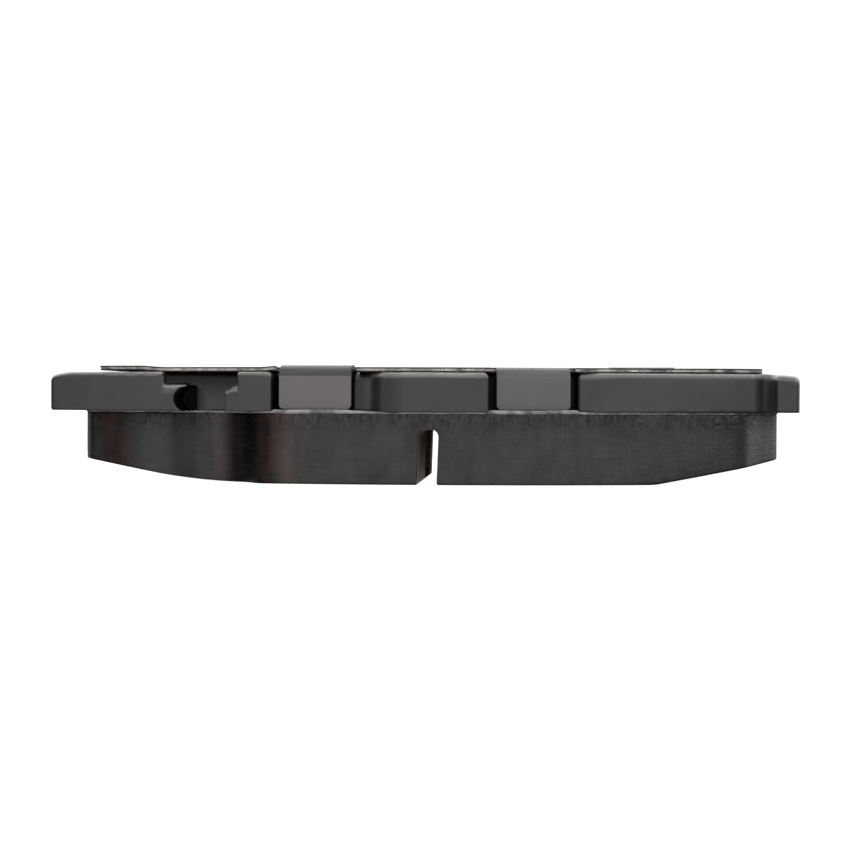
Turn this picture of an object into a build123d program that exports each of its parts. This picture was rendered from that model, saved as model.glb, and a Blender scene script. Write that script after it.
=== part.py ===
from build123d import *
import math
import os

# A disc brake pad with its noise shim.  Sizes are in millimetres.
# X runs along the pad, -Y is the outer convex edge, +Y faces the disc's axis and Z rises
# from the friction face at z = 0, through the backing plate, to the shim on its back.
# X = 0 and Y = 0 lie in the middle of the overall length and width.

# Overall
LENGTH = 123.3
WIDTH = 53.0
OUTER_RADIUS = 132.0  # outer edge of the backing plate, about the disc's axis
PAD_MID_X = 0.9  # the slot, the tabs and the disc's axis are set off towards the longer end
OUTER_Y = -WIDTH / 2
CORNER_LOSS = 0.292  # rounding the inner corners takes this off the width
INNER_Y = WIDTH / 2 + CORNER_LOSS
AXIS_Y = OUTER_Y + OUTER_RADIUS

# Layers, from the friction face up
BLOCK_HEIGHT = 9.1
UNDERLAYER = 2.1
ADHESIVE = 0.2
PLATE = 6.3
COAT = 0.2  # each rubber coat of the shim
CORE = 0.35  # the shim's steel sheet
UNDERLAYER_Z = BLOCK_HEIGHT
ADHESIVE_Z = UNDERLAYER_Z + UNDERLAYER
PLATE_Z = ADHESIVE_Z + ADHESIVE
BACK_Z = PLATE_Z + PLATE
SHIM = COAT + CORE + COAT

# Backing plate
CORNER_X = 54.8  # outer corner beside the set-back ear
CORNER_RADIUS = 3.0
SHOULDER_Y = -8.5  # front of the set-back ear
SHOULDER_RUN = 3.0  # the slanted wall between that corner and the ear takes this much length
SHOULDER_FILLET = 0.8
EAR_RADIUS = 1.2
EAR_BACK_Y = 6.5
EAR_ROOT_X = 56.0
INNER_CORNER_X = 49.0
INNER_CORNER_RADIUS = 4.0
INNER_SAG = 2.5  # how far the inner edge bows in at its middle
DIE_ROLL = 0.8  # rounded edge that blanking leaves on the back face
HOLE_RADIUS = 4.0  # retention holes, filled by the moulded underlayer
HOLE_X = 25.0
HOLE_Y = (-9.5, 12.0)
PLUG_GAP = 0.4  # the plugs stop this far below the back face

# Empty seat for a wear indicator, in the outer edge: wide at the back face, narrow below
SEAT_LEFT, SEAT_RIGHT = -41.3, -28.8
SEAT_DEPTH = 3.8  # from the outer edge to the seat's wall
SEAT_LEDGE_Z = BACK_Z - 2.05  # the level ledge at the left
SEAT_RAMP_Z = BACK_Z - 2.1  # the ramp at the right falls from here by its drop
SEAT_RAMP_DROP = 1.1
SEAT_BEVEL = 0.45  # lip of the ledge, along the outer edge
THROAT_RIGHT = -30.9
POCKET_X, POCKET_Z = -37.4, BACK_Z - 4.35  # round pocket under the ledge, deeper than the wall
POCKET_RADIUS = 2.1
POCKET_RIGHT = -36.3
POCKET_DEPTH = 9.0

# Shim tabs and the notches that they hook into
OUTER_TABS = (-16.5, 18.3)
INNER_TABS = (-35.5, 37.3)
TAB_WIDTH = 11.6
TAB_END_Z = 11.85
TAB_CORNER = 0.7
TAB_INSET = 1.1  # outer face of a tab, inside the plate's edge
TAB_BEND = 1.9  # outer radius of the bend
TAB_RELIEF = 0.9  # cut in the shim at each side of a tab
OUTER_NOTCHES = ((-23.4, -10.25), (11.0, 25.4))  # side walls of each
INNER_NOTCH_WIDTH = 14.1
NOTCH_DEPTH = 4.0
EASE_DEPTHS = (2.4, 1.0)  # a shallow ledge at the right of each outer notch
EASE_LEDGES = (1.2, 0.6)
EASE_RUNS = (4.8, 3.0)  # the S curve from each ledge out to the edge
INNER_NOTCH_DEPTH = 3.6
RISE_RADIUS = 4.0  # the sheet lifts off the plate before it bends down
OUTER_RISES = (20.0, 6.0)  # angle of that lift, in degrees
INNER_RISES = (6.0, 30.0)

# Shim outline
SHIM_INSET = 1.4
SHIM_LEFT, SHIM_RIGHT = -53.9, 56.5
SHIM_END_Y = 5.5
SHIM_CORNER = 2.0

# Friction block and underlayer outline
BLOCK_INSET = 0.3
STEP_INSET = 4.1  # the outer wall stands back at the wear indicator's end
STEP_START, STEP_END = -30.0, -23.8
BLOCK_LEFT, BLOCK_RIGHT = -56.3, 58.7
BLOCK_DRAFT = 0.3  # each end leans in by this much towards the friction face
SLOT_X = 1.45
SLOT_WIDTH = 3.1
SLOT_ROOT = 8.7
SLOT_CORNER = 1.1
SLOT_LEAN = 2.0  # degrees towards +X at the root
CHAMFER_SLOPES = (9.8, 10.0)  # left and right end, in degrees
CHAMFER_STARTS = (-35.9, 37.3)
CHAMFER_BLENDS = (110.0, 8.0)  # radius of the curve between each chamfer and the face


def arc_y(x, inset=0.0):
    """Y of the outer edge at x, moved in towards the disc's axis by inset."""
    radius = OUTER_RADIUS - inset
    return AXIS_Y - math.sqrt(radius**2 - (x - PAD_MID_X) ** 2)


def outer_arc(left, right, inset=0.0):
    """The outer edge from left to right, at a radius reduced by inset."""
    middle = (left + right) / 2
    return ThreePointArc(
        (left, arc_y(left, inset)), (middle, arc_y(middle, inset)), (right, arc_y(right, inset))
    )


def inner_arc(right, left, edge_y):
    """The inner edge from right to left, bowed in at its middle."""
    return ThreePointArc((right, edge_y), ((left + right) / 2, edge_y - INNER_SAG), (left, edge_y))


def rounded(sketch, point, radius):
    """The sketch with its corner nearest to point rounded."""
    corner = sketch.vertices().sort_by_distance((point[0], point[1], 0))[0]
    return fillet(corner, radius)


def on_edge(x, inset=0.0):
    """A place on the outer edge at x, turned so that its -Y points away from the disc's axis."""
    angle = math.degrees(math.asin((x - PAD_MID_X) / (OUTER_RADIUS - inset)))
    return Location((x, arc_y(x, inset), 0), (0, 0, angle))


def layer(sketch, z, height):
    """The sketch as a solid from z up by height."""
    return extrude(Pos(0, 0, z) * sketch, height)


# ---- Backing plate ----


def plate_outline():
    """Outer arc, a flush ear at the left, a set-back ear at the right and a bowed inner edge."""
    left, right = -LENGTH / 2, LENGTH / 2
    corner = (CORNER_X, arc_y(CORNER_X))
    root = (CORNER_X + SHOULDER_RUN, SHOULDER_Y)
    edges = [
        outer_arc(left, CORNER_X),
        Polyline(
            corner, root, (right, SHOULDER_Y), (right, EAR_BACK_Y), (EAR_ROOT_X, EAR_BACK_Y),
            (INNER_CORNER_X, INNER_Y),
        ),
        inner_arc(INNER_CORNER_X, -INNER_CORNER_X, INNER_Y),
        Polyline(
            (-INNER_CORNER_X, INNER_Y), (-EAR_ROOT_X, EAR_BACK_Y), (left, EAR_BACK_Y),
            (left, arc_y(left)),
        ),
    ]
    outline = make_face(edges)
    outline = rounded(outline, corner, CORNER_RADIUS)
    outline = rounded(outline, root, SHOULDER_FILLET)
    for side in (-1, 1):
        outline = rounded(outline, (side * INNER_CORNER_X, INNER_Y), INNER_CORNER_RADIUS)
        outline = rounded(outline, (side * EAR_ROOT_X, EAR_BACK_Y), EAR_RADIUS * 2)
        outline = rounded(outline, (side * LENGTH / 2, EAR_BACK_Y), EAR_RADIUS)
    outline = rounded(outline, (right, SHOULDER_Y), EAR_RADIUS)
    return rounded(outline, (left, arc_y(left)), EAR_RADIUS)


def outer_notch(walls, depth, ledge, run):
    """A notch for a tab, with a ledge at its right that eases out to the outer edge."""
    middle, width = sum(walls) / 2, walls[1] - walls[0]
    notch = on_edge(middle) * Rectangle(width, 2 * NOTCH_DEPTH)
    left = -run - ledge - 0.5  # reaches into the notch
    edges = [
        Spline((-run, depth), (0, 0), tangents=[(1, 0), (1, 0)]),
        Polyline((0, 0), (0, -1), (left, -1), (left, depth), (-run, depth)),
    ]
    return notch + on_edge(walls[1] + ledge + run) * make_face(edges)


def inner_notch(x):
    """A notch for a tab on the inner edge."""
    return Pos(x, INNER_Y) * Rectangle(INNER_NOTCH_WIDTH, 2 * INNER_NOTCH_DEPTH)


def pocket_profile():
    """The pocket seen from the outer edge: half round at the left, straight at the right."""
    top, foot = POCKET_Z + POCKET_RADIUS, POCKET_Z - POCKET_RADIUS
    edges = [
        ThreePointArc((POCKET_X, top), (POCKET_X - POCKET_RADIUS, POCKET_Z), (POCKET_X, foot)),
        Polyline((POCKET_X, foot), (POCKET_RIGHT, foot), (POCKET_RIGHT, top), (POCKET_X, top)),
    ]
    return make_face(edges)


def seat_profile():
    """The seat seen from the outer edge: a level ledge, the throat and a ramp at the right."""
    top, foot = BACK_Z + 1, PLATE_Z - 1
    outline = Polyline(
        (SEAT_LEFT, top), (SEAT_LEFT, SEAT_LEDGE_Z), (POCKET_X, SEAT_LEDGE_Z), (POCKET_X, foot),
        (THROAT_RIGHT, foot), (THROAT_RIGHT, SEAT_RAMP_Z - SEAT_RAMP_DROP),
        (SEAT_RIGHT, SEAT_RAMP_Z), (SEAT_RIGHT, top), close=True,
    )
    return make_face(outline)


def cut_from_edge(profile, depth):
    """A profile in X and Z as a cut from outside the outer edge to depth beyond it at the seat."""
    wall_y = arc_y(POCKET_X) + depth
    wall = Plane(origin=(0, wall_y, 0), x_dir=(1, 0, 0), z_dir=(0, -1, 0))
    return extrude(wall * profile, 2 * depth)


def seat_lip():
    """The bevel along the front of the ledge."""
    right = POCKET_X - 0.5 * POCKET_RADIUS
    middle = (SEAT_LEFT + right) / 2
    side = SEAT_BEVEL * math.sqrt(2)
    bar = Rot(45, 0, 0) * Box(right - SEAT_LEFT, side, side)
    return Pos(0, 0, SEAT_LEDGE_Z) * on_edge(middle) * bar


def seat():
    """The whole seat: its wide and narrow parts, the pocket and the bevelled lip."""
    pocket = cut_from_edge(pocket_profile(), POCKET_DEPTH)
    return cut_from_edge(seat_profile(), SEAT_DEPTH) + pocket + seat_lip()


def hole_sketch(radius):
    """The retention holes, two by two."""
    circles = Sketch()
    for x in (PAD_MID_X - HOLE_X, PAD_MID_X + HOLE_X):
        for y in HOLE_Y:
            circles += Pos(x, y) * Circle(radius)
    return circles


def backing_plate():
    outline = plate_outline()
    for notch in zip(OUTER_NOTCHES, EASE_DEPTHS, EASE_LEDGES, EASE_RUNS):
        outline -= outer_notch(*notch)
    for x in INNER_TABS:
        outline -= inner_notch(x)
    plate = layer(outline, PLATE_Z, PLATE)
    rim = plate.faces().sort_by(Axis.Z)[-1].outer_wire().edges()
    plate = fillet(rim, DIE_ROLL)
    return plate - seat() - layer(hole_sketch(HOLE_RADIUS), PLATE_Z, PLATE)


# ---- Friction block, underlayer and adhesive ----


def block_outline():
    """Outer wall with its step, slanted right end, inner edge and left end."""
    inner_x, inner_y = INNER_CORNER_X - 1.5, INNER_Y - 1.8
    start = (STEP_START, arc_y(STEP_START, STEP_INSET))
    end = (STEP_END, arc_y(STEP_END, BLOCK_INSET))
    left_y = arc_y(BLOCK_LEFT, STEP_INSET)
    slant_x = CORNER_X - 3.0
    edges = [
        outer_arc(BLOCK_LEFT, STEP_START, STEP_INSET),
        Spline(start, end, tangents=[(1, -0.1), (1, -0.15)]),
        outer_arc(STEP_END, slant_x, BLOCK_INSET),
        Polyline(
            (slant_x, arc_y(slant_x, BLOCK_INSET)), (BLOCK_RIGHT - 0.6, -6.0), (BLOCK_RIGHT, 0),
            (inner_x, inner_y),
        ),
        inner_arc(inner_x, -inner_x, inner_y),
        Polyline((-inner_x, inner_y), (BLOCK_LEFT, 0), (BLOCK_LEFT, left_y)),
    ]
    outline = make_face(edges)
    outline = rounded(outline, (slant_x, arc_y(slant_x, BLOCK_INSET)), 6.0)
    outline = rounded(outline, (BLOCK_RIGHT - 0.6, -6.0), 6.0)
    outline = rounded(outline, (BLOCK_RIGHT, 0), 6.0)
    outline = rounded(outline, (BLOCK_LEFT, 0), 6.0)
    outline = rounded(outline, (BLOCK_LEFT, left_y), 4.0)
    for side in (-1, 1):
        outline = rounded(outline, (side * inner_x, inner_y), INNER_CORNER_RADIUS)
    return outline


def slot_cut():
    """The slot across the friction face, with a flat root and rounded corners, leaning a little."""
    length = 2 * SLOT_ROOT
    bar = Pos(0, SLOT_ROOT - length / 2) * RectangleRounded(SLOT_WIDTH, length, SLOT_CORNER)
    foot = Pos(0, -SLOT_CORNER) * Rectangle(SLOT_WIDTH, 4 * SLOT_CORNER)
    profile = Pos(SLOT_X, 0) * Rot(0, 0, -SLOT_LEAN) * (bar + foot)
    return extrude(Plane.XZ * profile, WIDTH, both=True)


def chamfer_cut(side, start, slope, blend):
    """A wedge under one end; the wedge leaves the face at start and runs in through an arc."""
    slope = math.radians(slope)
    half = blend * math.tan(slope / 2)
    far = LENGTH / 2 + 5
    rise = (far - abs(start)) * math.tan(slope)
    touch = (start - side * half, 0)
    leave = (start + side * half * math.cos(slope), half * math.sin(slope))
    edges = [
        TangentArc(touch, leave, tangent=(side, 0)),
        Polyline(leave, (side * far, rise), (side * far, -1), (touch[0], -1), touch),
    ]
    return extrude(Plane.XZ * make_face(edges), WIDTH, both=True)


def leaning_ends():
    """A prism whose two end faces lean in towards the friction face."""
    foot = (BLOCK_LEFT + BLOCK_DRAFT, 0), (BLOCK_RIGHT - BLOCK_DRAFT, 0)
    head = (BLOCK_RIGHT, BLOCK_HEIGHT), (BLOCK_LEFT, BLOCK_HEIGHT)
    return extrude(Plane.XZ * make_face(Polyline(*foot, *head, close=True)), WIDTH, both=True)


def friction_block(outline):
    block = layer(outline, 0, BLOCK_HEIGHT) & leaning_ends()
    block -= slot_cut()
    for side, start, slope, blend in zip((-1, 1), CHAMFER_STARTS, CHAMFER_SLOPES, CHAMFER_BLENDS):
        block -= chamfer_cut(side, start, slope, blend)
    return block


def underlayer(outline):
    sheet = layer(outline, UNDERLAYER_Z, UNDERLAYER)
    plugs = layer(hole_sketch(HOLE_RADIUS), ADHESIVE_Z, ADHESIVE + PLATE - PLUG_GAP)
    return sheet + plugs


def adhesive_layer(outline):
    return layer(outline - hole_sketch(HOLE_RADIUS), ADHESIVE_Z, ADHESIVE)


# ---- Shim ----


def shim_outline():
    """Flat part of the shim, cut back where the tabs rise and bend."""
    inner_x, inner_y = INNER_CORNER_X - 2.5, INNER_Y - SHIM_INSET
    left = (SHIM_LEFT + 0.6, arc_y(SHIM_LEFT + 0.6, SHIM_INSET))
    right = (SHIM_RIGHT - 1.6, arc_y(SHIM_RIGHT - 1.6, SHIM_INSET))
    edges = [
        outer_arc(left[0], right[0], SHIM_INSET),
        Polyline(right, (SHIM_RIGHT, SHIM_END_Y), (inner_x, inner_y)),
        inner_arc(inner_x, -inner_x, inner_y),
        Polyline((-inner_x, inner_y), (SHIM_LEFT, SHIM_END_Y), left),
    ]
    outline = make_face(edges)
    outline = rounded(outline, left, SHIM_CORNER)
    outline = rounded(outline, right, SHIM_CORNER)
    outline = rounded(outline, (SHIM_LEFT, SHIM_END_Y), SHIM_CORNER * 2)
    outline = rounded(outline, (SHIM_RIGHT, SHIM_END_Y), SHIM_CORNER * 2)
    for side in (-1, 1):
        outline = rounded(outline, (side * inner_x, inner_y), SHIM_CORNER * 1.5)
    return outline


def bend_path(offset, rise):
    """Edges of the sheet's surface at offset above its underside, from the flat to the tab's end.

    The path runs outwards along local X, lifts by the angle rise and then bends down.  X = 0 is
    the tab's outer face and Z = 0 is the plate's back."""
    inner = TAB_BEND - SHIM
    lift = math.radians(rise)
    run = (RISE_RADIUS + inner) * math.sin(lift)
    start = -SHIM - inner - run
    flat = Line((start - 1.0, offset), (start, offset))
    up = JernArc(flat @ 1, (1, 0), RISE_RADIUS - offset, rise)
    over = JernArc(up @ 1, up % 1, inner + offset, -90 - rise)
    down = Line(over @ 1, ((over @ 1).X, TAB_END_Z - BACK_Z))
    return [flat, up, over, down]


def tab(low, high, rise):
    """One layer of a tab, from low to high above the sheet's underside, pointing along -Y."""
    lower = bend_path(low, rise)
    upper = bend_path(high, rise)
    ends = [Line(lower[0] @ 0, upper[0] @ 0), Line(lower[-1] @ 1, upper[-1] @ 1)]
    strip = extrude(Plane.YZ * make_face(lower + upper + ends), TAB_WIDTH / 2, both=True)
    strip = Rot(0, 0, 180) * strip
    return strip - tab_corners()


def tab_corners():
    """What is cut from a tab to round its two lower corners."""
    drop = TAB_END_Z - BACK_Z
    window = Pos(0, drop - 5 + TAB_CORNER) * Rectangle(TAB_WIDTH + 2, 10)
    shape = Pos(0, drop + 5) * RectangleRounded(TAB_WIDTH, 10, TAB_CORNER)
    return extrude(Plane.XZ * (window - shape), 3, both=True)


def tab_places():
    """Where the four tabs stand: place, and how far the sheet lifts before the bend."""
    face_y = INNER_Y - TAB_INSET - 1.0
    outer = [on_edge(x) * Pos(0, TAB_INSET) for x in OUTER_TABS]
    inner = [Location((x, face_y, 0), (0, 0, 180)) for x in INNER_TABS]
    return list(zip(outer + inner, OUTER_RISES + INNER_RISES))


def shim_layer(outline, low, height):
    """One layer of the shim with its four tabs."""
    flat = outline
    tabs = []
    for place, rise in tab_places():
        inner = TAB_BEND - SHIM
        reach = SHIM + inner + (RISE_RADIUS + inner) * math.sin(math.radians(rise))
        window = Pos(0, reach - 5) * Rectangle(TAB_WIDTH + 2 * TAB_RELIEF, 10)
        flat -= place * window
        tabs.append(Pos(0, 0, BACK_Z) * place * tab(low, low + height, rise))
    sheet = layer(flat, BACK_Z + low, height)
    for piece in tabs:
        sheet += piece
    return sheet


def build():
    block = block_outline()
    shim = shim_outline()
    return {
        "backing_plate": backing_plate(),
        "adhesive_layer": adhesive_layer(block),
        "underlayer": underlayer(block),
        "friction_block": friction_block(block),
        "shim_inner_coat": shim_layer(shim, 0.0, COAT),
        "shim_core": shim_layer(shim, COAT, CORE),
        "shim_outer_coat": shim_layer(shim, COAT + CORE, COAT),
    }


os.makedirs("parts", exist_ok=True)
for name, solid in build().items():
    export_step(solid, "parts/" + name + ".step")
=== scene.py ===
import math

import bmesh
import bpy
import numpy as np
from mathutils import Matrix, Vector


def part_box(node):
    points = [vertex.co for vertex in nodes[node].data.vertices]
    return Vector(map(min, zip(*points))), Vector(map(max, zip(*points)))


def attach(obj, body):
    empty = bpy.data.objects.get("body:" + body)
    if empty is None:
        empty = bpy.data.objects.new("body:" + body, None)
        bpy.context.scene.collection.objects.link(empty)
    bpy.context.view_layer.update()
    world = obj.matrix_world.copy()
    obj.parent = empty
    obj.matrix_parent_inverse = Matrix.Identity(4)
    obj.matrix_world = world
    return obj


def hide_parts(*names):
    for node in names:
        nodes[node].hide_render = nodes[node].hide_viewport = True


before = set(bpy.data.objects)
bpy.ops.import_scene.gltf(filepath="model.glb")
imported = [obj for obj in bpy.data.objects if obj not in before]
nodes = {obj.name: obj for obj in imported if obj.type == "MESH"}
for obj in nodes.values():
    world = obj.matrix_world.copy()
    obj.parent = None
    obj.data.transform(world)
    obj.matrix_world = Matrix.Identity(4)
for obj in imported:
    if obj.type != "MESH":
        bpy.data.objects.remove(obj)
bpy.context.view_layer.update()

MM = 0.001
PLATE_LOW, PLATE_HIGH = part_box("backing_plate")
BLOCK_LOW, BLOCK_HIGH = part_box("friction_block")
BOND_LOW, BOND_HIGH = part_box("adhesive_layer")
SHIM_LOW, SHIM_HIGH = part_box("shim_outer_coat")
HALF_LENGTH = PLATE_HIGH.x
MIDDLE_X = 0.9 * MM  # the pad's arcs are centred here
OUTER_RADIUS = 132 * MM
AXIS_Y = PLATE_LOW.y + OUTER_RADIUS
SEAT_LEFT = -41.3 * MM  # the wear indicator's empty seat: its ledge at the left, its ramp at the right
LEDGE_RIGHT, LEDGE_Z = -37.4 * MM, PLATE_HIGH.z - 2.05 * MM
RAMP_LEFT, RAMP_RIGHT = -30.9 * MM, -28.8 * MM
RAMP_LOW, RAMP_TOP = PLATE_HIGH.z - 3.2 * MM, PLATE_HIGH.z - 2.1 * MM
LEFT_TAB = (-22.4 * MM, -10.7 * MM)  # sides of the left outer tab
NOTCHES = ((-23.4 * MM, -10.2 * MM), (11.0 * MM, 25.5 * MM))
PLATE_DULL = (  # stretches of the plate's outer side: from, to, softness and the gloss that is left
    (-10.4 * MM, -8.4 * MM, 1.2 * MM, 0.6),
    (-7.0 * MM, -3.2 * MM, 2.4 * MM, 0.6),
    (53.9 * MM, 57.4 * MM, 1.6 * MM, 0.0),
)
BROWN_BANDS = ((-54 * MM, -47 * MM), (-33 * MM, -30.5 * MM), (-25 * MM, -18 * MM))  # stained paint
BLOCK_DULL = (  # as above, for the block's painted side
    (-55.0 * MM, -47.4 * MM, 5 * MM, 0.28),
    (-40.8 * MM, -36.0 * MM, 2 * MM, 0.6),
    (-31.4 * MM, -22.4 * MM, 3.0 * MM, 0.12),
)
SLOT_SPAN = (-0.3 * MM, 3.5 * MM)
ROUGH_BAND = (8.4 * MM, 10.4 * MM)  # the compound turns rough and pitted between these heights
SEAT_WALL = PLATE_LOW.y + 9.5 * MM  # back of the indicator's seat; only its round pocket goes deeper
POCKET_RIGHT = -36.2 * MM

VOXEL = 0.2 * MM
BEAD_RINGS = 7
TORN = 0.05 * MM  # the shim's cut edge is torn back by up to this much


# ---- Noise, the same on each run ----


def lattice(cell, seed):
    """A fixed value from 0 to 1 for each whole-numbered cell."""
    key = cell @ np.array([73856093, 19349663, 83492791]) + seed * 7919
    key = ((key ^ (key >> 13)) * 1274126177) & 0xFFFFFFFF
    key = ((key ^ (key >> 15)) * 668265263) & 0xFFFFFFFF
    return ((key ^ (key >> 16)) & 0xFFFF) / 0xFFFF


def noise(points, size, seed):
    """Smooth noise from -1 to 1 at each point; size is one feature's width, or three widths."""
    grid = points / np.array(size)
    cell = np.floor(grid).astype(np.int64)
    part = grid - cell
    part = part * part * (3 - 2 * part)
    total = np.zeros(len(points))
    for corner in range(8):
        step = np.array([corner & 1, corner >> 1 & 1, corner >> 2])
        weight = np.prod(np.where(step, part, 1 - part), axis=1)
        total += weight * lattice(cell + step, seed)
    return total * 2 - 1


def ramp(value, low, high):
    """0 below low, 1 above high and smooth between them."""
    t = np.clip((value - low) / (high - low), 0, 1)
    return t * t * (3 - 2 * t)


def depth_of(points):
    """Distance of each point from the plate's outer arc, in towards the disc's axis."""
    return OUTER_RADIUS - np.hypot(points[:, 0] - MIDDLE_X, points[:, 1] - AXIS_Y)


# ---- Mesh tools ----


def copy_node(name, node):
    """A new piece with the shape of a CAD node."""
    piece = bpy.data.objects.new(name, nodes[node].data.copy())
    piece.data.materials.clear()
    bpy.context.scene.collection.objects.link(piece)
    return piece


def weld(piece):
    """Joins the corners that the CAD mesh keeps apart for its sharp edges."""
    mesh = bmesh.new()
    mesh.from_mesh(piece.data)
    bmesh.ops.remove_doubles(mesh, verts=mesh.verts, dist=0.001 * MM)
    mesh.to_mesh(piece.data)
    mesh.free()


def bake_modifiers(piece):
    """Applies the piece's modifiers to its mesh."""
    shape = bpy.data.meshes.new_from_object(piece.evaluated_get(bpy.context.evaluated_depsgraph_get()))
    piece.modifiers.clear()
    piece.data = shape


def remesh(piece, size):
    modifier = piece.modifiers.new("remesh", "REMESH")
    modifier.mode = "VOXEL"
    modifier.voxel_size = size
    modifier.use_smooth_shade = True
    bake_modifiers(piece)


def thin(piece, ratio):
    modifier = piece.modifiers.new("thin", "DECIMATE")
    modifier.ratio = ratio
    bake_modifiers(piece)


def round_off(piece, steps):
    """Softens all edges a little, as a thick coat does."""
    modifier = piece.modifiers.new("round", "SMOOTH")
    modifier.factor = 0.5
    modifier.iterations = steps
    bake_modifiers(piece)


def read(piece):
    """The piece's points and normals, one row each."""
    count = len(piece.data.vertices)
    points = np.zeros(count * 3)
    normals = np.zeros(count * 3)
    piece.data.vertices.foreach_get("co", points)
    piece.data.vertex_normals.foreach_get("vector", normals)
    return points.reshape(-1, 3), normals.reshape(-1, 3)


def write(piece, points):
    piece.data.vertices.foreach_set("co", points.ravel())
    piece.data.update()


def shade_smooth(piece):
    for face in piece.data.polygons:
        face.use_smooth = True


# ---- Pieces ----


def front_of(points):
    """Y and slope of the plate's outer side at each point's X, read from the mesh itself."""
    bin_size = 0.3 * MM
    low = PLATE_HIGH.z - 1.5 * MM  # just below the rounded edge
    band = points[(points[:, 2] > low) & (points[:, 2] < low + 0.6 * MM)]
    count = int(2 * HALF_LENGTH / bin_size) + 1
    front = np.full(count, PLATE_HIGH.y)
    np.minimum.at(front, ((band[:, 0] + HALF_LENGTH) / bin_size).astype(int).clip(0, count - 1), band[:, 1])
    middles = (np.arange(count) + 0.5) * bin_size - HALF_LENGTH
    slope = np.gradient(front, bin_size).clip(-1.5, 1.5)
    return np.interp(points[:, 0], middles, front), np.interp(points[:, 0], middles, slope)


def round_corner(across, down, radius, tall=1.0):
    """How far to move a point in and down to round the corner at 0, 0; tall stretches the round down."""
    out_across, out_down = radius - across, radius - down / tall
    reach = np.hypot(out_across, out_down)
    inside = (across > -0.3 * MM) & (down > -0.1 * MM) & (out_across > 0) & (out_down > 0)
    share = np.where(inside & (reach > radius), 1 - radius / np.maximum(reach, 1e-9), 0)
    return out_across * share, out_down * share * tall


def die_roll(points):
    """Rounds the top edge along the outer side, more at the middle and at the notches' corners."""
    x = points[:, 0]
    front, slope = front_of(points)
    length = np.hypot(1, slope)
    across = (points[:, 1] - front) / length
    radius = 0.8 * MM + 0.4 * MM * ramp(x, -27 * MM, -22 * MM) + 0.3 * MM * ramp(x, 53 * MM, 57 * MM)
    tall = np.ones(len(x))
    for corner, reach in ((NOTCHES[0][1], 4 * MM), (NOTCHES[1][1], 6 * MM)):
        tall += 0.8 * (x > corner - 0.2 * MM) * (1 - ramp(x, corner, corner + reach))
    inward, drop = round_corner(across, PLATE_HIGH.z - points[:, 2], radius, tall)
    points[:, 0] -= inward * slope / length
    points[:, 1] += inward / length
    points[:, 2] -= drop


def round_seat(points):
    """Rounds the front of the ledge and of the ramp in the indicator's seat."""
    x = points[:, 0]
    ramp_z = np.interp(x, (RAMP_LEFT, RAMP_RIGHT), (RAMP_LOW, RAMP_TOP))
    lip = np.where(x < LEDGE_RIGHT + MM, LEDGE_Z, ramp_z)
    ledge = ramp(x, SEAT_LEFT - 0.5 * MM, SEAT_LEFT + 0.5 * MM) * (x < LEDGE_RIGHT + 0.3 * MM)
    slant = (x > RAMP_LEFT - 0.1 * MM) * (1 - ramp(x, RAMP_RIGHT - 0.3 * MM, RAMP_RIGHT + 0.5 * MM))
    radius = 1.0 * MM * ledge + 0.8 * MM * slant + 1e-9
    inward, drop = round_corner(depth_of(points), lip - points[:, 2], radius)
    points[:, 1] += inward
    points[:, 2] -= drop


def close_gap(points):
    """Brings the right wall of the left notch up to the tab beside it."""
    wall = NOTCHES[0][1]
    near = 1 - ramp(np.abs(points[:, 0] - wall), 0.3 * MM, 1.5 * MM)
    points[:, 0] -= 0.4 * MM * near * (1 - ramp(depth_of(points), 3 * MM, 4 * MM))


def drop_ends(points):
    """Bends the top of the ears down towards their ends and rounds the left ear's foot."""
    height = (points[:, 2] - PLATE_LOW.z) / (PLATE_HIGH.z - PLATE_LOW.z)
    out = np.clip((np.abs(points[:, 0]) - 0.9 * HALF_LENGTH) / (0.1 * HALF_LENGTH), 0, 1)
    drop = np.where(points[:, 0] < 0, 0.72 * MM * out**3, 0.38 * MM * out**2)
    points[:, 2] -= drop * ramp(height, 0.3, 1.0)
    inward, rise = round_corner(points[:, 0] + HALF_LENGTH, points[:, 2] - PLATE_LOW.z, 0.5 * MM)
    points[:, 0] += inward
    points[:, 2] += rise


def make_plate():
    """Backing plate: blanked steel with a die roll and a burr, under a thick coat."""
    plate = copy_node("backing_plate_coated", "backing_plate")
    weld(plate)
    remesh(plate, VOXEL)
    points, _ = read(plate)
    die_roll(points)
    round_seat(points)
    close_gap(points)
    drop_ends(points)
    write(plate, points)
    round_off(plate, 3)
    points, normals = read(plate)
    peel = 0.010 * MM * noise(points, 3.5 * MM, 1) + 0.004 * MM * noise(points, 0.9 * MM, 2)
    side = 1 - ramp(np.abs(normals[:, 2]), 0.3, 0.8)
    foot = 1 - ramp(points[:, 2], PLATE_LOW.z + 0.15 * MM, PLATE_LOW.z + 0.5 * MM)
    burr = 0.05 * MM * side * foot * (0.4 + noise(points, 1.6 * MM, 3))
    middle_x, middle_z = (RAMP_LEFT + RAMP_RIGHT) / 2, (RAMP_LOW + RAMP_TOP) / 2
    from_ramp = np.hypot(points[:, 0] - middle_x, points[:, 2] - middle_z)
    lumps = 0.25 * MM * (1 - ramp(from_ramp, 0.8 * MM, 2.2 * MM)) * noise(points, 0.8 * MM, 4)
    lumps *= 1 - ramp(depth_of(points), 2 * MM, 3 * MM)
    points += normals * (peel + burr + lumps)[:, None]
    write(plate, points)
    thin(plate, 0.5)
    shade_smooth(plate)
    return plate


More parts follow.
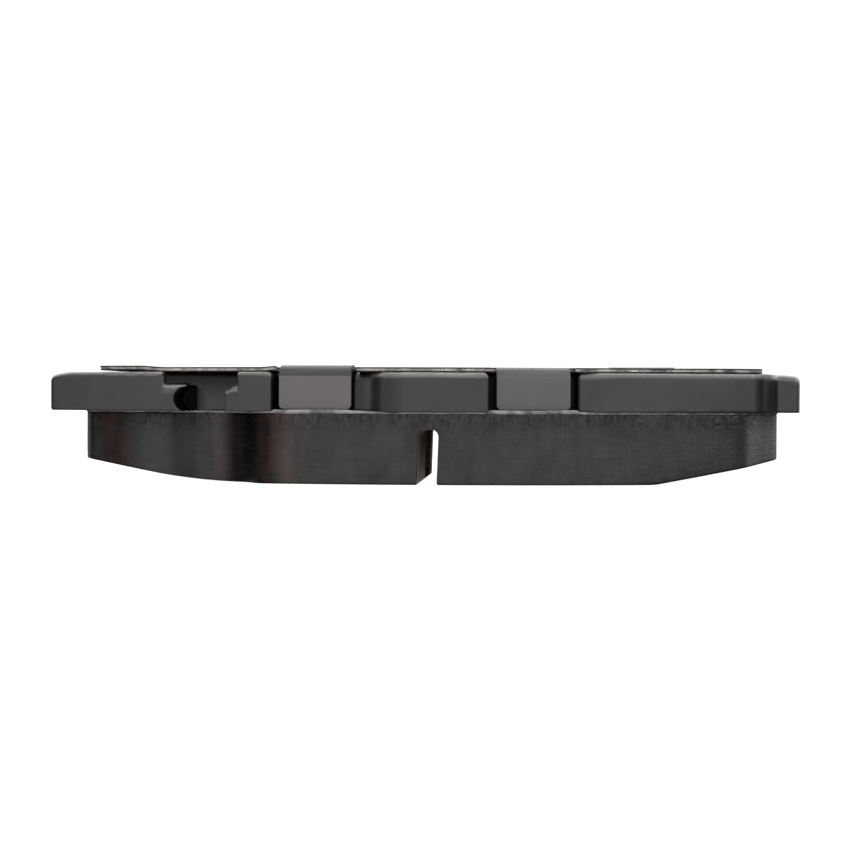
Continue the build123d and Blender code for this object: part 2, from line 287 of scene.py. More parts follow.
def make_block():
    """Friction block and underlayer, moulded as one, then parted where the compound changes."""
    whole = copy_node("friction_block_moulded", "friction_block")
    weld(whole)
    points, _ = read(whole)
    points[points[:, 2] > BLOCK_HIGH.z - 0.01 * MM, 2] = BOND_LOW.z  # up to the underlayer's top
    write(whole, points)
    remesh(whole, VOXEL)
    round_off(whole, 1)
    points, normals = read(whole)
    side = 1 - ramp(np.abs(normals[:, 2]), 0.3, 0.8)
    left = 1 - ramp(points[:, 0], -6 * MM, 6 * MM)
    band = ramp(points[:, 2], *ROUGH_BAND)
    swell = 0.02 * MM * noise(points, (8 * MM, 8 * MM, 12 * MM), 11) * (0.5 + left)
    grain = 0.006 * MM * noise(points, (2.2 * MM, 2.2 * MM, 0.5 * MM), 12)
    small = noise(points, 0.55 * MM, 13)
    large = noise(points, 1.6 * MM, 14)
    pits = ramp(small + 0.5 * large, 0.5, 1.0)
    depth = (0.02 + 0.14 * band) * MM
    points += normals * (side * (swell + grain * (0.6 + left + band) - depth * pits))[:, None]
    write(whole, points)
    thin(whole, 0.5)
    upper = bpy.data.objects.new("underlayer_moulded", whole.data.copy())
    bpy.context.scene.collection.objects.link(upper)
    keep_part(whole, BLOCK_HIGH.z, below=True)
    keep_part(upper, BLOCK_HIGH.z, below=False)
    return whole, upper


def keep_part(piece, height, below):
    """Cuts the piece level at height, keeps one part and closes it."""
    mesh = bmesh.new()
    mesh.from_mesh(piece.data)
    found = bmesh.ops.bisect_plane(
        mesh, geom=mesh.verts[:] + mesh.edges[:] + mesh.faces[:], dist=1e-8,
        plane_co=(0, 0, height), plane_no=(0, 0, 1), clear_outer=below, clear_inner=not below,
    )
    rim = [e for e in found["geom_cut"] if isinstance(e, bmesh.types.BMEdge)]
    made = bmesh.ops.contextual_create(mesh, geom=rim)
    for edge in rim:
        edge.smooth = False
    for face in mesh.faces:
        face.smooth = True
    for face in made["faces"]:
        face.smooth = False
    mesh.to_mesh(piece.data)
    mesh.free()


def outline_of(node):
    """The outer loop of a flat sheet's top, in order, as points in X and Y."""
    mesh = bmesh.new()
    mesh.from_mesh(nodes[node].data)
    bmesh.ops.remove_doubles(mesh, verts=mesh.verts, dist=0.001 * MM)
    top = max(v.co.z for v in mesh.verts)
    level = [v for v in mesh.verts if v.co.z > top - 0.01 * MM]
    near = {}
    for vert in level:
        rim = [
            e.other_vert(vert) for e in vert.link_edges
            if e.other_vert(vert).co.z > top - 0.01 * MM
            and any(abs(f.normal.z) < 0.5 for f in e.link_faces)
            and any(abs(f.normal.z) > 0.5 for f in e.link_faces)
        ]
        near[vert] = rim
    start = min(level, key=lambda v: v.co.x)
    loop, last = [start], None
    while True:
        following = [v for v in near[loop[-1]] if v is not last]
        last = loop[-1]
        if following[0] is start:
            break
        loop.append(following[0])
    points = np.array([(v.co.x, v.co.y) for v in loop])
    mesh.free()
    return points


def resample(loop, step):
    """The closed loop again, with points about step apart."""
    closed = np.vstack([loop, loop[:1]])
    length = np.concatenate([[0], np.cumsum(np.linalg.norm(np.diff(closed, axis=0), axis=1))])
    at = np.linspace(0, length[-1], int(length[-1] / step), endpoint=False)
    return np.stack([np.interp(at, length, closed[:, i]) for i in (0, 1)], axis=1)


def bead_rings(loop, outward):
    """Rings of points up the bead's round side, from the loop and its outward directions."""
    flat = np.column_stack([loop, np.zeros(len(loop))])
    uneven = 0.5 + 0.35 * noise(flat, 2.2 * MM, 21) + 0.25 * noise(flat, 0.6 * MM, 22)
    drop = 0.06 * MM * noise(flat, 3.0 * MM, 23)
    under_tab = np.zeros(len(loop))
    for low, high in NOTCHES:
        under_tab += ramp(loop[:, 0], low, low + 0.6 * MM) * (1 - ramp(loop[:, 0], high - 0.6 * MM, high))
    swell = 0.3 * MM * under_tab * (loop[:, 1] < PLATE_LOW.y + 8 * MM)
    middle = (BOND_LOW.z + BOND_HIGH.z) / 2
    rings = []
    for turn in np.linspace(0, math.pi, BEAD_RINGS):
        reach = -0.1 * MM + (0.1 + 0.18 * np.clip(uneven, 0.1, 1)) * MM * math.sin(turn)
        rise = -math.cos(turn)
        z = middle + 0.16 * MM * rise + drop + swell * max(0, rise)
        rings.append(np.column_stack([loop + outward * reach[:, None], z]))
    return rings


def make_bond():
    """Bond film whose edge swells out as an uneven bead between the block and the plate."""
    loop = resample(outline_of("adhesive_layer"), 0.25 * MM)
    along = np.roll(loop, -1, axis=0) - np.roll(loop, 1, axis=0)
    outward = np.stack([along[:, 1], -along[:, 0]], axis=1)
    outward /= np.linalg.norm(outward, axis=1)[:, None]
    area = np.sum(loop[:, 0] * np.roll(loop[:, 1], -1) - loop[:, 1] * np.roll(loop[:, 0], -1))
    outward *= np.sign(area)
    points = np.vstack(bead_rings(loop, outward))
    count = len(loop)
    faces = []
    for i in range(BEAD_RINGS - 1):
        for j in range(count):
            k = (j + 1) % count
            faces.append((i * count + j, i * count + k, (i + 1) * count + k, (i + 1) * count + j))
    faces.append(tuple(reversed(range(count))))
    faces.append(tuple(range((BEAD_RINGS - 1) * count, BEAD_RINGS * count)))
    if area < 0:
        faces = [tuple(reversed(f)) for f in faces]
    mesh = bpy.data.meshes.new("bond_bead")
    mesh.from_pydata(points.tolist(), [], faces)
    bead = bpy.data.objects.new("bond_bead", mesh)
    bpy.context.scene.collection.objects.link(bead)
    shade_smooth(bead)
    for face in mesh.polygons[-2:]:
        face.use_smooth = False
    return bead


def slice_grid(mesh, step):
    """Cuts a mesh into squares along X and Y so that it can be bent."""
    for axis in (0, 1):
        values = [v.co[axis] for v in mesh.verts]
        place = min(values) + step
        while place < max(values) - 0.2 * step:
            point = [0, 0, 0]
            normal = [0, 0, 0]
            point[axis] = place
            normal[axis] = 1
            bmesh.ops.bisect_plane(
                mesh, geom=mesh.verts[:] + mesh.edges[:] + mesh.faces[:], dist=1e-8,
                plane_co=point, plane_no=normal,
            )
            place += step


def lift_of(points):
    """How far the shim's sheet stands off the plate, from its tabs' pull and its wavy edges."""
    x = points[:, 0]
    rim = 1 - ramp(depth_of(points), 2 * MM, 6 * MM)
    left, right = LEFT_TAB
    beside = ramp(x, left - 4 * MM, left) ** 2 * (1 - ramp(x, right, right + 1.4 * MM))
    clear = np.maximum(left - x, x - right) > 0.4 * MM
    tab = 0.20 * MM * beside * clear * rim
    ends = 0.25 * MM * (1 - ramp(x, -45.5 * MM, -41.5 * MM)) + 0.06 * MM * ramp(x, 38 * MM, 48 * MM)
    away = ramp(np.abs(points[:, 1] + 2 * MM), 15 * MM, 24 * MM)
    wave = 0.012 * MM * (1 + noise(points * np.array([1, 1, 0]), 11 * MM, 31)) * away
    return tab + ends + wave


def make_shim_layer(name, node, seed):
    """One layer of the shim, lifted in places, with an uneven cut edge."""
    layer = copy_node(name, node)
    mesh = bmesh.new()
    mesh.from_mesh(layer.data)
    bmesh.ops.remove_doubles(mesh, verts=mesh.verts, dist=0.0005 * MM)
    slice_grid(mesh, 0.8 * MM)
    mesh.to_mesh(layer.data)
    mesh.free()
    points, normals = read(layer)
    points[:, 2] += lift_of(points) * ramp(points[:, 2], PLATE_HIGH.z - 1.0 * MM, PLATE_HIGH.z)
    slant = (SHIM_HIGH.z - points[:, 2]) * ramp(points[:, 2], PLATE_HIGH.z - 0.1 * MM, PLATE_HIGH.z)
    points[:, 0] += 0.6 * slant * (points[:, 0] < SHIM_LOW.x + 1.2 * MM)
    points[:, 0] -= 0.4 * slant * (points[:, 0] > SHIM_HIGH.x - 1.2 * MM)
    side = 1 - ramp(np.abs(normals[:, 2]), 0.3, 0.8)
    torn = TORN * (0.5 + 0.5 * noise(points, 0.9 * MM, seed)) * side
    torn *= ramp(points[:, 2], PLATE_HIGH.z - 0.3 * MM, PLATE_HIGH.z)
    points -= normals * np.array([1, 1, 0]) * torn[:, None]
    write(layer, points)
    if "custom_normal" in layer.data.attributes:
        layer.data.attributes.remove(layer.data.attributes["custom_normal"])
    shade_smooth(layer)
    layer.data.set_sharp_from_angle(angle=math.radians(35))
    return layer


# ---- Materials ----


class Nodes:
    """The node tree of a material or a world, built by short calls."""

    def __init__(self, owner, place="Object"):
        owner.use_nodes = True
        self.owner = owner
        self.tree = owner.node_tree
        self.surface = self.tree.nodes.get("Principled BSDF")
        self.place = self.add("ShaderNodeTexCoord").outputs[place]

    def add(self, kind, **values):
        node = self.tree.nodes.new(kind)
        for key, value in values.items():
            setattr(node, key, value)
        return node

    def feed(self, socket, value):
        if isinstance(value, bpy.types.NodeSocket):
            self.tree.links.new(value, socket)
        else:
            socket.default_value = value

    def stretch(self, x, y, z):
        node = self.add("ShaderNodeMapping")
        self.feed(node.inputs["Vector"], self.place)
        node.inputs["Scale"].default_value = (x, y, z)
        return node.outputs["Vector"]

    def noise(self, width, detail=3.0, rough=0.5, place=None):
        """Noise whose features are about width wide."""
        node = self.add("ShaderNodeTexNoise")
        self.feed(node.inputs["Vector"], place or self.place)
        node.inputs["Scale"].default_value = 1 / width
        node.inputs["Detail"].default_value = detail
        node.inputs["Roughness"].default_value = rough
        return node.outputs["Fac"]

    def cells(self, width):
        node = self.add("ShaderNodeTexVoronoi")
        self.feed(node.inputs["Vector"], self.place)
        node.inputs["Scale"].default_value = 1 / width
        return node

    def range(self, value, low, high, to_low=0.0, to_high=1.0):
        node = self.add("ShaderNodeMapRange")
        for i, entry in enumerate((value, low, high, to_low, to_high)):
            self.feed(node.inputs[i], entry)
        return node.outputs[0]

    def window(self, value, low, high, soft):
        """1 between low and high, falling to 0 over soft at each side."""
        rise = self.range(value, low - soft / 2, low + soft / 2)
        return self.times(rise, self.range(value, high + soft / 2, high - soft / 2))

    def math(self, kind, a, b=0.0):
        node = self.add("ShaderNodeMath", operation=kind)
        self.feed(node.inputs[0], a)
        self.feed(node.inputs[1], b)
        return node.outputs[0]

    def times(self, a, b):
        return self.math("MULTIPLY", a, b)

    def most(self, a, b):
        return self.math("MAXIMUM", a, b)

    def mix(self, share, a, b):
        node = self.add("ShaderNodeMix", data_type="RGBA")
        self.feed(node.inputs[0], share)
        self.feed(node.inputs[6], a if isinstance(a, bpy.types.NodeSocket) else (*a, 1))
        self.feed(node.inputs[7], b if isinstance(b, bpy.types.NodeSocket) else (*b, 1))
        return node.outputs[2]

    def split(self, socket):
        node = self.add("ShaderNodeSeparateXYZ")
        self.feed(node.inputs[0], socket)
        return node.outputs

    def open_to_light(self, reach, low, high):
        """0 deep in a recess, 1 in the open."""
        node = self.add("ShaderNodeAmbientOcclusion", samples=8)
        node.inputs["Distance"].default_value = reach
        return self.range(node.outputs["AO"], low, high)

    def bump(self, height, distance, strength=1.0, normal=None):
        node = self.add("ShaderNodeBump")
        node.inputs["Strength"].default_value = strength
        node.inputs["Distance"].default_value = distance
        self.feed(node.inputs["Height"], height)
        if normal:
            self.feed(node.inputs["Normal"], normal)
        return node.outputs["Normal"]

    def finish(self, color, roughness, normal, metallic=0.0, specular=0.5):
        self.feed(self.surface.inputs["Base Color"], color)
        self.feed(self.surface.inputs["Roughness"], roughness)
        self.feed(self.surface.inputs["Normal"], normal)
        self.feed(self.surface.inputs["Metallic"], metallic)
        self.feed(self.surface.inputs["Specular IOR Level"], specular)
        return self.owner


def material_nodes(name):
    return Nodes(bpy.data.materials.new(name))


def edge_wear(tree):
    """1 on convex edges, 0 elsewhere."""
    pointed = tree.add("ShaderNodeNewGeometry").outputs["Pointiness"]
    return tree.range(pointed, 0.57, 0.66)


def outer_half(tree, y):
    """1 at the pad's outer side, 0 at its inner side."""
    return tree.range(y, 0, -4 * MM)


def inset_of(tree, x, y):
    """Distance in from the plate's outer arc."""
    across = tree.math("SUBTRACT", x, MIDDLE_X)
    along = tree.math("SUBTRACT", y, AXIS_Y)
    squares = tree.math("ADD", tree.times(across, across), tree.times(along, along))
    return tree.math("SUBTRACT", OUTER_RADIUS, tree.math("SQRT", squares))


def recess_shade(tree, x, y, z, inset):
    """Painted shade: 1 deep in the indicator's seat and in the tab notches, 0 elsewhere."""
    seat = tree.window(x, SEAT_LEFT, RAMP_RIGHT, 0.3 * MM)
    wall = tree.range(inset, 1.4 * MM, 2.0 * MM)
    shade = tree.range(z, PLATE_HIGH.z - 4.5 * MM, PLATE_HIGH.z - 1.0 * MM, 0.1, 0.75)
    under_ledge = tree.range(z, LEDGE_Z, LEDGE_Z - 0.6 * MM)
    beside_pocket = tree.times(tree.range(x, POCKET_RIGHT + 2.2 * MM, POCKET_RIGHT), under_ledge)
    beside_pocket = tree.times(beside_pocket, tree.range(inset, 1.4 * MM, 2.0 * MM, 0.0, 0.85))
    pocket = tree.range(y, SEAT_WALL + 0.2 * MM, SEAT_WALL + 0.5 * MM)
    deep = tree.most(tree.times(shade, wall), tree.most(beside_pocket, pocket))
    deep = tree.times(deep, seat)
    for low, high in NOTCHES:
        gap = tree.window(x, low, high, 0.1 * MM)
        deep = tree.most(deep, tree.times(gap, tree.range(inset, 0.3 * MM, 1.5 * MM)))
    return tree.times(deep, outer_half(tree, y))


def wear_and_highlights(tree, x, z, inset, bare):
    """Where the coat is rubbed lighter on its sharp edges, plus painted highlights on the rolled edge and
    on the lips of the seat.
    """
    dust = tree.noise(1.2 * MM, 5, 0.7)
    edges = tree.times(edge_wear(tree), tree.range(dust, 0.4, 0.65, 0.1, 0.5))
    edges = tree.times(edges, tree.range(z, PLATE_HIGH.z - 1.1 * MM, PLATE_HIGH.z - 0.7 * MM))
    streak = tree.noise(0.5 * MM, 4, 0.6, tree.stretch(0.15, 1.0, 1.0))
    # Painted highlight along the rolled top edge, stronger at the notches' corners.
    rolled = tree.range(z, PLATE_HIGH.z - 1.1 * MM, PLATE_HIGH.z - 0.4 * MM)
    rolled = tree.times(rolled, tree.range(x, -12 * MM, -8 * MM, 0.1, 0.5))
    rolled = tree.times(rolled, tree.range(x, 26 * MM, 34 * MM, 1.3, 0.3))
    rolled = tree.times(rolled, tree.range(streak, 0.4, 0.65, 0.3, 1.0))
    # Painted highlights on the rounded front lips of the seat's ledge and ramp.
    ledge = tree.window(x, SEAT_LEFT, LEDGE_RIGHT, 0.8 * MM)
    ledge = tree.times(ledge, tree.range(z, LEDGE_Z - 1.6 * MM, LEDGE_Z - 0.2 * MM))
    slant = tree.window(x, RAMP_LEFT, RAMP_RIGHT, 0.4 * MM)
    slant = tree.times(slant, tree.window(z, RAMP_LOW, RAMP_TOP, 0.4 * MM))
    lips = tree.times(tree.most(ledge, slant), tree.range(dust, 0.35, 0.6, 0.3, 0.8))
    # Real edge wear joined with the painted highlights.
    rubbed = tree.most(tree.times(edges, bare), tree.most(lips, rolled))
    return tree.times(rubbed, tree.range(inset, 2.6 * MM, 2.0 * MM))


def powder_coat():
    """Satin black coat, rubbed lighter on its sharpest edges, with painted highlights on the rolled edge,
    the seat's lips and the right end, and dull with painted shade deep in the seat and the notches.
    """
    tree = material_nodes("powder_coat")
    x, y, z = tree.split(tree.place)
    inset = inset_of(tree, x, y)
    deep = recess_shade(tree, x, y, z, inset)
    bare = tree.range(deep, 1, 0)
    for low, high, soft, left in PLATE_DULL:
        stretch = tree.times(tree.window(x, low, high, soft), outer_half(tree, y))
        bare = tree.times(bare, tree.range(stretch, 0, 1, 1.0, left))
    cloud = tree.noise(12 * MM, 4)
    color = tree.mix(tree.range(cloud, 0.35, 0.65), (0.005, 0.0052, 0.0052), (0.009, 0.007, 0.006))
    # Lighter grey for the rubbed edges and the painted highlights.
    color = tree.mix(wear_and_highlights(tree, x, z, inset, bare), color, (0.11, 0.107, 0.102))
    # Painted highlight: lighter grey on the rounded right end of the plate.
    end = tree.range(x, HALF_LENGTH - 1.2 * MM, HALF_LENGTH - 0.1 * MM, 0.0, 0.35)
    color = tree.mix(end, color, (0.05, 0.05, 0.05))
    # Painted shade: the coat's colour is darkened deep in the seat and the tab notches.
    color = tree.mix(deep, color, (0.0045, 0.004, 0.0036))
    rough = tree.range(tree.noise(4 * MM, 4), 0.35, 0.65, 0.31, 0.41)
    peel = tree.bump(tree.noise(0.6 * MM, 2), 0.012 * MM, 0.5)
    fine = tree.bump(tree.noise(0.15 * MM, 2), 0.004 * MM, 0.5, peel)
    return tree.finish(color, rough, fine, specular=tree.range(bare, 0, 1, 0.05, 0.5))


def side_paint(tree, x, y):
    """Colour of the painted moulded sides: neutral at the right, streaked and brownish at the left, with
    painted shade on the outer step and painted highlights near both ends.
    """
    outer_side = outer_half(tree, y)
    cloud = tree.noise(9 * MM, 4)
    plain = tree.mix(tree.range(cloud, 0.3, 0.7), (0.003, 0.003, 0.003), (0.005, 0.0049, 0.0048))
    warm = tree.mix(tree.range(cloud, 0.3, 0.7), (0.0035, 0.0026, 0.0024), (0.006, 0.0045, 0.0042))
    color = tree.mix(tree.range(x, 1.5 * MM, -1.5 * MM), plain, warm)
    mottle = tree.range(tree.noise(2.2 * MM, 4, 0.6, tree.stretch(1, 1, 0.4)), 0.35, 0.7)
    # Painted shade: darker over the S-shaped step in the outer side.
    step = tree.times(tree.window(x, -30.0 * MM, -25.0 * MM, 3 * MM), outer_side)
    color = tree.mix(step, color, (0.002, 0.0018, 0.0016))
    for low, high in BROWN_BANDS:
        stain = tree.times(tree.window(x, low, high, 2 * MM), mottle)
        stain = tree.times(stain, outer_side)
        color = tree.mix(stain, color, (0.022, 0.008, 0.007))
    streak = tree.noise(0.5 * MM, 3, 0.6, tree.stretch(0.12, 0.12, 1.0))
    lines = tree.range(streak, 0.5, 0.8, 0.0, 0.3)
    color = tree.mix(lines, color, (0.02, 0.0193, 0.0187))
    # Painted highlight: lighter towards both ends of the block's outer side.
    corner = tree.range(x, BLOCK_LOW.x + 1.3 * MM, BLOCK_LOW.x + 0.2 * MM)
    corner = tree.most(corner, tree.range(x, BLOCK_HIGH.x - 1.8 * MM, BLOCK_HIGH.x, 0.0, 0.6))
    corner = tree.times(corner, tree.range(y, -4 * MM, -9 * MM))
    color = tree.mix(corner, color, (0.075, 0.073, 0.071))
    # Painted highlight: a lighter band just before the block's right end.
    return tree.mix(tree.window(x, 52.6 * MM, 54.6 * MM, 1.5 * MM), color, (0.014, 0.014, 0.014))


def ground_face(tree, marks):
    """Colour of the ground friction face: grey binder with brass, mineral and dark grains."""
    tone = tree.split(tree.cells(0.7 * MM).outputs["Color"])
    ground = tree.mix(tone[0], (0.085, 0.08, 0.075), (0.17, 0.16, 0.15))
    ground = tree.mix(tree.range(tone[1], 0.86, 0.9), ground, (0.40, 0.26, 0.14))
    ground = tree.mix(tree.range(tone[2], 0.84, 0.9), ground, (0.02, 0.02, 0.02))
    return tree.mix(tree.range(marks, 0.45, 0.75, 0.0, 0.5), ground, (0.26, 0.25, 0.235))


def side_gloss(tree, x, y, z):
    """Gloss of the painted sides: blotchy, brushed dull near the plate and dull in some stretches."""
    bare = tree.open_to_light(4 * MM, 0.25, 0.55)
    blotch = tree.noise(3 * MM, 5, 0.65, tree.stretch(1.0, 1.0, 0.5))
    brushed = tree.noise(0.5 * MM, 4, 0.65, tree.stretch(1.0, 1.0, 0.35))
    near_plate = tree.range(z, BOND_HIGH.z - 4 * MM, BOND_HIGH.z)
    rubbed = tree.times(near_plate, tree.range(brushed, 0.36, 0.56, 0.7, 0.0))
    gloss = tree.times(tree.range(bare, 0, 1, 0.1, 0.44), tree.range(blotch, 0.3, 0.7, 0.72, 1.14))
    gloss = tree.times(gloss, tree.math("SUBTRACT", 1, rubbed))
    for low, high, soft, left in BLOCK_DULL:
        stretch = tree.times(tree.window(x, low, high, soft), outer_half(tree, y))
        gloss = tree.times(gloss, tree.range(stretch, 0, 1, 1.0, left))
    return gloss


def friction_paint():
    """Painted moulded sides, a ground friction face and a bare brown slot."""
    tree = material_nodes("friction_compound")
    x, y, z = tree.split(tree.place)
    facing = tree.split(tree.add("ShaderNodeTexCoord").outputs["Normal"])
    marks = tree.noise(0.25 * MM, 3, 0.6, tree.stretch(0.08, 1.0, 1.0))
    under = tree.range(facing[2], -0.8, -0.93)
    color = tree.mix(under, side_paint(tree, x, y), ground_face(tree, marks))
    slot = tree.window(x, *SLOT_SPAN, 0.1 * MM)
    slot = tree.times(slot, tree.range(y, PLATE_LOW.y + 0.6 * MM, PLATE_LOW.y + 1.2 * MM))
    slot = tree.times(slot, tree.range(z, BLOCK_HIGH.z + 0.1 * MM, BLOCK_HIGH.z - 0.1 * MM))
    color = tree.mix(slot, color, (0.12, 0.09, 0.07))
    cloud = tree.noise(5 * MM, 3)
    rough = tree.most(tree.range(cloud, 0.3, 0.7, 0.36, 0.44), tree.range(under, 0, 1, 0, 0.78))
    rough = tree.most(rough, tree.range(slot, 0, 1, 0, 0.85))
    pitted = tree.range(z, *ROUGH_BAND, 0.25, 0.8)
    coarse = tree.bump(tree.times(tree.noise(0.5 * MM, 5, 0.6), pitted), 0.14 * MM, 1.0)
    streak = tree.noise(0.35 * MM, 3, 0.6, tree.stretch(0.12, 0.12, 1.0))
    lined = tree.bump(streak, 0.04 * MM, 0.7, coarse)
    fine = tree.bump(tree.times(marks, under), 0.02 * MM, 0.5, lined)
    return tree.finish(color, rough, fine, specular=side_gloss(tree, x, y, z))


def bond_paint():
    """Squeezed-out bond, painted over unevenly; its light grey patches are a painted highlight along the
    joint.
    """
    tree = material_nodes("bond_bead")
    cloud = tree.noise(1.8 * MM, 4)
    color = tree.mix(tree.range(cloud, 0.35, 0.65), (0.035, 0.033, 0.032), (0.17, 0.162, 0.154))
    bump = tree.bump(tree.noise(0.25 * MM, 3), 0.03 * MM, 0.7)
    return tree.finish(color, tree.range(cloud, 0.3, 0.7, 0.35, 0.5), bump)


def shim_rubber():
    """Thin matt coat; its cut edge is near black. Its upper bent-over parts get painted shade."""
    tree = material_nodes("shim_rubber")
    x, y, z = tree.split(tree.place)
    cloud = tree.noise(8 * MM, 4)
    color = tree.mix(tree.range(cloud, 0.3, 0.7), (0.045, 0.043, 0.046), (0.054, 0.051, 0.056))
    left = tree.range(x, 6 * MM, -2 * MM)
    color = tree.mix(left, color, (0.066, 0.059, 0.065))
    # Painted shade: darker and less glossy on the left above the plate's top, over the left tab's bent-over
    # top and the sheet.
    bend_shade = tree.range(z, PLATE_HIGH.z - 0.7 * MM, PLATE_HIGH.z - 0.5 * MM)
    color = tree.mix(tree.times(bend_shade, left), color, (0.024, 0.025, 0.024))
    # Painted shade: darker across the bent-over tops on the right and near the middle.
    curl_shade = tree.range(z, PLATE_HIGH.z - 0.6 * MM, PLATE_HIGH.z + 0.6 * MM)
    right = tree.math("SUBTRACT", 1, left)
    color = tree.mix(tree.times(curl_shade, right), color, (0.032, 0.032, 0.032))
    middle = tree.times(curl_shade, tree.window(x, -0.5 * MM, 4.5 * MM, 1.5 * MM))
    color = tree.mix(middle, color, (0.028, 0.0285, 0.028))
    facing = tree.split(tree.add("ShaderNodeNewGeometry").outputs["True Normal"])
    upright = tree.range(tree.math("ABSOLUTE", facing[2]), 0.35, 0.2)
    edge = tree.times(upright, tree.range(z, PLATE_HIGH.z - 0.3 * MM, PLATE_HIGH.z - 0.1 * MM))
    color = tree.mix(edge, color, (0.006, 0.006, 0.006))
    grain = tree.bump(tree.noise(0.12 * MM, 4, 0.7), 0.010 * MM, 0.7)
    wave = tree.bump(tree.noise(4 * MM, 2), 0.04 * MM, 0.3, grain)
    # Painted shade: darker and less glossy just over the plate's outer edge, where the sheet bends over.
    crest_shade = tree.range(z, PLATE_HIGH.z - 0.1 * MM, PLATE_HIGH.z + 0.5 * MM)
    crest_shade = tree.times(crest_shade, tree.range(inset_of(tree, x, y), 1.6 * MM, 0.9 * MM))
    color = tree.mix(crest_shade, color, (0.022, 0.022, 0.022))
    gloss = tree.range(tree.most(edge, tree.times(bend_shade, 0.6)), 0, 1, 0.5, 0.1)
    gloss = tree.times(gloss, tree.range(crest_shade, 0, 1, 1.0, 0.15))
    return tree.finish(color, tree.range(cloud, 0.3, 0.7, 0.48, 0.56), wave, specular=gloss)


def cut_steel():
    """Sheared edge: bright smears with darker torn stretches."""
    tree = material_nodes("cut_steel")
    shear = tree.noise(0.35 * MM, 4, 0.6, tree.stretch(1, 1, 0.3))
    patch = tree.noise(2.5 * MM, 3)
    color = tree.mix(tree.range(patch, 0.35, 0.65), (0.08, 0.075, 0.069), (0.36, 0.343, 0.32))
    color = tree.mix(tree.range(shear, 0.55, 0.8), color, (0.04, 0.034, 0.03))
    bump = tree.bump(shear, 0.03 * MM, 0.6)
    return tree.finish(color, tree.range(shear, 0.3, 0.7, 0.35, 0.5), bump, metallic=0.9)


# ---- Stage ----


def front_glow(tree, x, y, peak):
    """peak straight in front of the pad, 0 at its sides; x and y are parts of the unit direction."""
    edge = tree.range(x, -0.5, 0.3, -0.18, -0.45)
    return tree.range(y, edge, tree.math("SUBTRACT", edge, 0.2), 0.0, peak)


def floor_paper():
    """Pale paper: white to the camera, and to the pad lit by a pool of light in front."""
    tree = material_nodes("floor_paper")
    tree.surface.inputs["Base Color"].default_value = (0.08, 0.08, 0.08, 1)
    tree.surface.inputs["Roughness"].default_value = 1.0
    tree.surface.inputs["Specular IOR Level"].default_value = 0.0
    tree.surface.inputs["Emission Color"].default_value = (1, 1, 1, 1)
    toward = tree.add("ShaderNodeVectorMath", operation="NORMALIZE")
    tree.feed(toward.inputs[0], tree.place)
    x, y, _ = tree.split(toward.outputs[0])
    pool = front_glow(tree, x, y, 1.0)
    seen = tree.add("ShaderNodeLightPath").outputs["Is Camera Ray"]
    tree.feed(tree.surface.inputs["Emission Strength"], tree.range(seen, 0, 1, pool, 1.0))
    return tree.owner


def make_floor():
    size = 3.0
    mesh = bpy.data.meshes.new("floor")
    corners = [(-size, -size, 0), (size, -size, 0), (size, size, 0), (-size, size, 0)]
    mesh.from_pydata(corners, [], [(0, 1, 2, 3)])
    floor = bpy.data.objects.new("floor", mesh)
    bpy.context.scene.collection.objects.link(floor)
    floor.location.z = -0.02 * MM
    mesh.materials.append(floor_paper())


def light_panel(name, place, target, size, radiance):
    """A soft rectangular light that shines with the same brightness over its whole face."""
    lamp = bpy.data.lights.new(name, "AREA")
    lamp.shape = "RECTANGLE"
    lamp.size, lamp.size_y = size
    lamp.energy = radiance * math.pi * size[0] * size[1]
    panel = bpy.data.objects.new(name, lamp)
    bpy.context.scene.collection.objects.link(panel)
    panel.location = place
    aim = Vector(target) - Vector(place)
    panel.rotation_euler = aim.to_track_quat("-Z", "Y").to_euler()


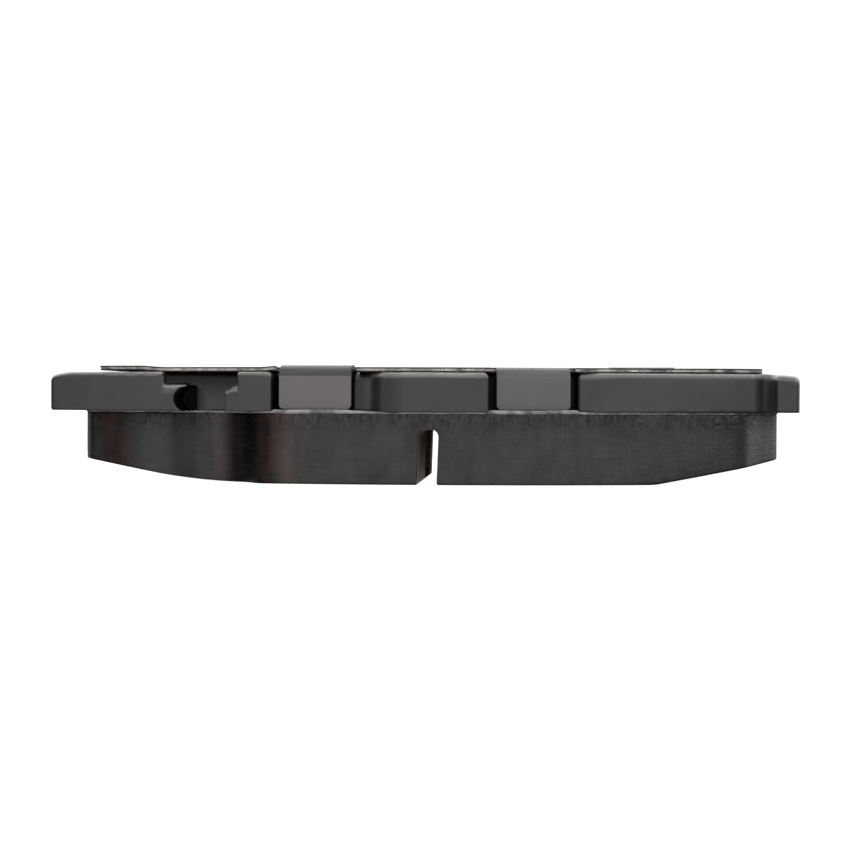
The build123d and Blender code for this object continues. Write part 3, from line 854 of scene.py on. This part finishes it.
def make_world():
    """White to the camera; to the pad, bright above, behind and low in front, dark at the sides."""
    tree = Nodes(bpy.data.worlds.new("studio"), "Generated")
    x, y, z = tree.split(tree.place)
    above = tree.range(z, 0.35, 0.7, 0.0, 3.2)
    behind = tree.times(tree.range(y, 0.15, 0.6, 0.0, 1.4), tree.range(z, 0.1, 0.4))
    beyond = tree.most(tree.range(y, 0.35, 0.6, 0.0, 0.7), tree.range(x, 0.38, 0.66, 0.0, 0.72))
    front = tree.times(front_glow(tree, x, y, 2.1), tree.range(z, 0.4, 0.12))
    total = tree.math("ADD", tree.math("ADD", above, behind), tree.math("ADD", front, beyond))
    seen = tree.add("ShaderNodeLightPath").outputs["Is Camera Ray"]
    back = tree.tree.nodes["Background"]
    tree.feed(back.inputs["Color"], (1, 1, 1, 1))
    tree.feed(back.inputs["Strength"], tree.range(seen, 0, 1, total, 1.1))
    bpy.context.scene.world = tree.owner


def make_lights():
    light_panel("right_strip", (0.9, 0.5, 0.3), (0.04, 0, 0.01), (0.5, 0.6), 1.2)
    make_world()


def make_camera():
    """Almost level view of the outer edge, a little from the right, with a slight roll."""
    target = Vector((1.2 * MM, PLATE_LOW.y, 9.43 * MM))
    distance = 330 * MM
    azimuth, elevation, roll = math.radians(3.0), math.radians(0.85), 0.0039
    back = Vector((
        math.sin(azimuth) * math.cos(elevation),
        -math.cos(azimuth) * math.cos(elevation),
        math.sin(elevation),
    ))
    lens = bpy.data.cameras.new("camera")
    lens.lens = 89.45
    lens.sensor_width = 36
    lens.clip_start = 0.01
    camera = bpy.data.objects.new("camera", lens)
    bpy.context.scene.collection.objects.link(camera)
    turn = (-back).to_track_quat("-Z", "Y").to_matrix() @ Matrix.Rotation(roll, 3, "Z")
    camera.matrix_world = Matrix.Translation(target + back * distance) @ turn.to_4x4()
    bpy.context.scene.camera = camera


# ---- Assembly ----


def install(piece, material, node):
    """Gives a piece its material and puts it in place of its CAD node."""
    piece.data.materials.clear()
    piece.data.materials.append(material)
    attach(piece, "root")
    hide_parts(node)


install(make_plate(), powder_coat(), "backing_plate")
block, underlayer = make_block()
compound = friction_paint()
install(block, compound, "friction_block")
install(underlayer, compound, "underlayer")
install(make_bond(), bond_paint(), "adhesive_layer")
rubber = shim_rubber()
for name, node, slot, material, seed in (
    ("shim_inner_rubber", "shim_inner_coat", "shim_rubber", rubber, 41),
    ("shim_steel_core", "shim_core", "shim_steel", cut_steel(), 42),
    ("shim_outer_rubber", "shim_outer_coat", "shim_rubber", rubber, 43),
):
    install(make_shim_layer(name, node, seed), material, node)

make_floor()
make_lights()
make_camera()
bpy.context.scene.view_settings.view_transform = "Standard"
